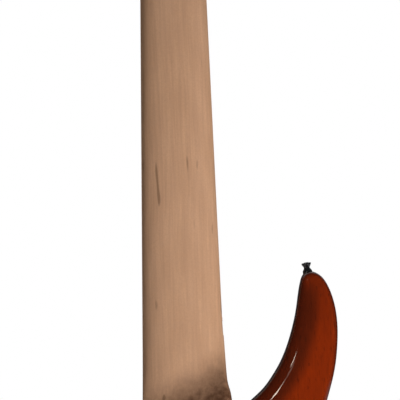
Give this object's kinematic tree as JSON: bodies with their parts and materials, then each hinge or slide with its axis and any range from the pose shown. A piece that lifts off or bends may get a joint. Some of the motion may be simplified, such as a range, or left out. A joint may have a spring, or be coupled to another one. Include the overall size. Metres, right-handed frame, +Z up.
{
  "type": "electric bass guitar",
  "caption": "Solid-body electric bass with a neck running through the body, long upper horn, tuning machines, bridge, pickups, controls and battery bay.",
  "frame": {"origin": "on the centre line at mid body thickness, on the tail end where the lower strap button is seated", "axes": "+Z up the neck, +Y out of the front (the strings' side), -Y out of the back, +X towards the long upper horn"},
  "size_m": [0.3137, 0.0641, 1.1197],
  "materials": {
    "neck_maple": "satin oil",
    "body_mahogany": "clear gloss lacquer over red-brown stain",
    "rosewood": "bare oiled",
    "fret_wire": "polished",
    "dot_inlay": "polished",
    "nut_bone": "polished",
    "rod_steel": "plain",
    "cover_plastic": "gloss black",
    "hardware_black": "gloss black plating",
    "screw_black": "black oxide",
    "gear_brass": "cut brass and black steel",
    "string_wire": "wound nickel steel",
    "pickup_plastic": "satin black",
    "coil_wire": "enamelled wire and magnets",
    "pot_can": "plain",
    "circuit_board": "lacquered",
    "moulded_plastic": "textured black",
    "battery_case": "gloss",
    "wire_sleeve": "plain"
  },
  "bodies": {
    "instrument": {"neck_core": "neck_maple", "upper_wing": "body_mahogany", "lower_wing": "body_mahogany", "fingerboard": "rosewood", "frets": "fret_wire", "position_dots": "dot_inlay", "string_nut": "nut_bone", "truss_rod": "rod_steel", "truss_cover": "cover_plastic", "truss_cover_screws": "screw_black", "tuner_plates": "hardware_black", "tuner_bushings": "hardware_black", "tuner_screws": "screw_black", "strings": "string_wire", "bridge_rails": "hardware_black", "bridge_screws": "screw_black", "intonation_screws": "screw_black", "pots": "pot_can", "pot_nuts": "hardware_black", "switch_body": "pot_can", "output_jack": "hardware_black", "control_cover": "cover_plastic", "control_cover_screws": "screw_black", "preamp_board": "circuit_board", "battery_box": "moulded_plastic", "battery": "battery_case", "strap_buttons": "hardware_black", "strap_screws": "screw_black", "wiring": "wire_sleeve"},
    "tuner_key_1": {"tuner_key_1": "hardware_black"},
    "tuner_post_1": {"tuner_post_1": "gear_brass"},
    "tuner_key_2": {"tuner_key_2": "hardware_black"},
    "tuner_post_2": {"tuner_post_2": "gear_brass"},
    "tuner_key_3": {"tuner_key_3": "hardware_black"},
    "tuner_post_3": {"tuner_post_3": "gear_brass"},
    "tuner_key_4": {"tuner_key_4": "hardware_black"},
    "tuner_post_4": {"tuner_post_4": "gear_brass"},
    "tuner_key_5": {"tuner_key_5": "hardware_black"},
    "tuner_post_5": {"tuner_post_5": "gear_brass"},
    "tuner_key_6": {"tuner_key_6": "hardware_black"},
    "tuner_post_6": {"tuner_post_6": "gear_brass"},
    "saddle_1": {"saddle_1": "hardware_black"},
    "saddle_2": {"saddle_2": "hardware_black"},
    "saddle_3": {"saddle_3": "hardware_black"},
    "saddle_4": {"saddle_4": "hardware_black"},
    "saddle_5": {"saddle_5": "hardware_black"},
    "saddle_6": {"saddle_6": "hardware_black"},
    "bridge_pickup": {"bridge_pickup_cover": "pickup_plastic", "bridge_pickup_coils": "coil_wire", "bridge_pickup_screws": "screw_black"},
    "neck_pickup": {"neck_pickup_cover": "pickup_plastic", "neck_pickup_coils": "coil_wire", "neck_pickup_screws": "screw_black"},
    "volume_knob": {"volume_knob": "hardware_black"},
    "blend_knob": {"blend_knob": "hardware_black"},
    "bass_knob": {"bass_knob": "hardware_black"},
    "treble_knob": {"treble_knob": "hardware_black"},
    "switch_lever": {"switch_lever": "hardware_black"},
    "battery_lid": {"battery_lid": "moulded_plastic"},
    "truss_nut": {"truss_nut": "rod_steel"}
  },
  "joints": [
    {"name": "tuner_key_1_turn", "type": "hinge", "parent": "instrument", "child": "tuner_key_1", "pos_m": [0.0295, -0.00786, 1.00454], "axis": [1, 0, 0], "continuous": true},
    {"name": "tuner_post_1_turn", "type": "hinge", "parent": "instrument", "child": "tuner_post_1", "pos_m": [0.0295, 0.00028, 0.99379], "axis": [0, 0.9848, 0.1736], "continuous": true},
    {"name": "tuner_key_2_turn", "type": "hinge", "parent": "instrument", "child": "tuner_key_2", "pos_m": [0.0255, -0.01515, 1.0459], "axis": [1, 0, 0], "continuous": true},
    {"name": "tuner_post_2_turn", "type": "hinge", "parent": "instrument", "child": "tuner_post_2", "pos_m": [0.0255, -0.00701, 1.03515], "axis": [0, 0.9848, 0.1736], "continuous": true},
    {"name": "tuner_key_3_turn", "type": "hinge", "parent": "instrument", "child": "tuner_key_3", "pos_m": [0.0215, -0.02244, 1.08726], "axis": [1, 0, 0], "continuous": true},
    {"name": "tuner_post_3_turn", "type": "hinge", "parent": "instrument", "child": "tuner_post_3", "pos_m": [0.0215, -0.0143, 1.07651], "axis": [0, 0.9848, 0.1736], "continuous": true},
    {"name": "tuner_key_4_turn", "type": "hinge", "parent": "instrument", "child": "tuner_key_4", "pos_m": [-0.0295, -0.00786, 1.00454], "axis": [1, 0, 0], "continuous": true},
    {"name": "tuner_post_4_turn", "type": "hinge", "parent": "instrument", "child": "tuner_post_4", "pos_m": [-0.0295, 0.00028, 0.99379], "axis": [0, 0.9848, 0.1736], "continuous": true},
    {"name": "tuner_key_5_turn", "type": "hinge", "parent": "instrument", "child": "tuner_key_5", "pos_m": [-0.0255, -0.01515, 1.0459], "axis": [1, 0, 0], "continuous": true},
    {"name": "tuner_post_5_turn", "type": "hinge", "parent": "instrument", "child": "tuner_post_5", "pos_m": [-0.0255, -0.00701, 1.03515], "axis": [0, 0.9848, 0.1736], "continuous": true},
    {"name": "tuner_key_6_turn", "type": "hinge", "parent": "instrument", "child": "tuner_key_6", "pos_m": [-0.0215, -0.02244, 1.08726], "axis": [1, 0, 0], "continuous": true},
    {"name": "tuner_post_6_turn", "type": "hinge", "parent": "instrument", "child": "tuner_post_6", "pos_m": [-0.0215, -0.0143, 1.07651], "axis": [0, 0.9848, 0.1736], "continuous": true},
    {"name": "saddle_1_slide", "type": "slide", "parent": "instrument", "child": "saddle_1", "axis": [0, 0, 1], "range_m": [-0.005, 0.005]},
    {"name": "saddle_2_slide", "type": "slide", "parent": "instrument", "child": "saddle_2", "axis": [0, 0, 1], "range_m": [-0.005, 0.005]},
    {"name": "saddle_3_slide", "type": "slide", "parent": "instrument", "child": "saddle_3", "axis": [0, 0, 1], "range_m": [-0.005, 0.005]},
    {"name": "saddle_4_slide", "type": "slide", "parent": "instrument", "child": "saddle_4", "axis": [0, 0, 1], "range_m": [-0.005, 0.005]},
    {"name": "saddle_5_slide", "type": "slide", "parent": "instrument", "child": "saddle_5", "axis": [0, 0, 1], "range_m": [-0.005, 0.005]},
    {"name": "saddle_6_slide", "type": "slide", "parent": "instrument", "child": "saddle_6", "axis": [0, 0, 1], "range_m": [-0.005, 0.005]},
    {"name": "bridge_pickup_height", "type": "slide", "parent": "instrument", "child": "bridge_pickup", "axis": [0, 1, 0], "range_m": [-0.002, 0.0015]},
    {"name": "neck_pickup_height", "type": "slide", "parent": "instrument", "child": "neck_pickup", "axis": [0, 1, 0], "range_m": [-0.002, 0.0015]},
    {"name": "volume_turn", "type": "hinge", "parent": "instrument", "child": "volume_knob", "pos_m": [-0.102, 0.025, 0.153], "axis": [0, 1, 0], "range_deg": [-150, 150]},
    {"name": "blend_turn", "type": "hinge", "parent": "instrument", "child": "blend_knob", "pos_m": [-0.113, 0.025, 0.126], "axis": [0, 1, 0], "range_deg": [-150, 150]},
    {"name": "bass_turn", "type": "hinge", "parent": "instrument", "child": "bass_knob", "pos_m": [-0.118, 0.025, 0.097], "axis": [0, 1, 0], "range_deg": [-150, 150]},
    {"name": "treble_turn", "type": "hinge", "parent": "instrument", "child": "treble_knob", "pos_m": [-0.108, 0.025, 0.069], "axis": [0, 1, 0], "range_deg": [-150, 150]},
    {"name": "switch_throw", "type": "hinge", "parent": "instrument", "child": "switch_lever", "pos_m": [-0.088, 0.0208, 0.116], "axis": [1, 0, 0], "range_deg": [-11, 11]},
    {"name": "battery_lid_hinge", "type": "hinge", "parent": "instrument", "child": "battery_lid", "pos_m": [0.098, -0.017, 0.1195], "axis": [-1, 0, 0], "range_deg": [0, 90]},
    {"name": "truss_nut_turn", "type": "hinge", "parent": "instrument", "child": "truss_nut", "pos_m": [0, 0.014, 0.957], "axis": [0, 0, 1], "range_deg": [-180, 180]}
  ],
  "couplings": [
    {"joint": "tuner_post_1_turn", "follows": "tuner_key_1_turn", "ratio": -0.05},
    {"joint": "tuner_post_2_turn", "follows": "tuner_key_2_turn", "ratio": -0.05},
    {"joint": "tuner_post_3_turn", "follows": "tuner_key_3_turn", "ratio": -0.05},
    {"joint": "tuner_post_4_turn", "follows": "tuner_key_4_turn", "ratio": 0.05},
    {"joint": "tuner_post_5_turn", "follows": "tuner_key_5_turn", "ratio": 0.05},
    {"joint": "tuner_post_6_turn", "follows": "tuner_key_6_turn", "ratio": 0.05}
  ]
}
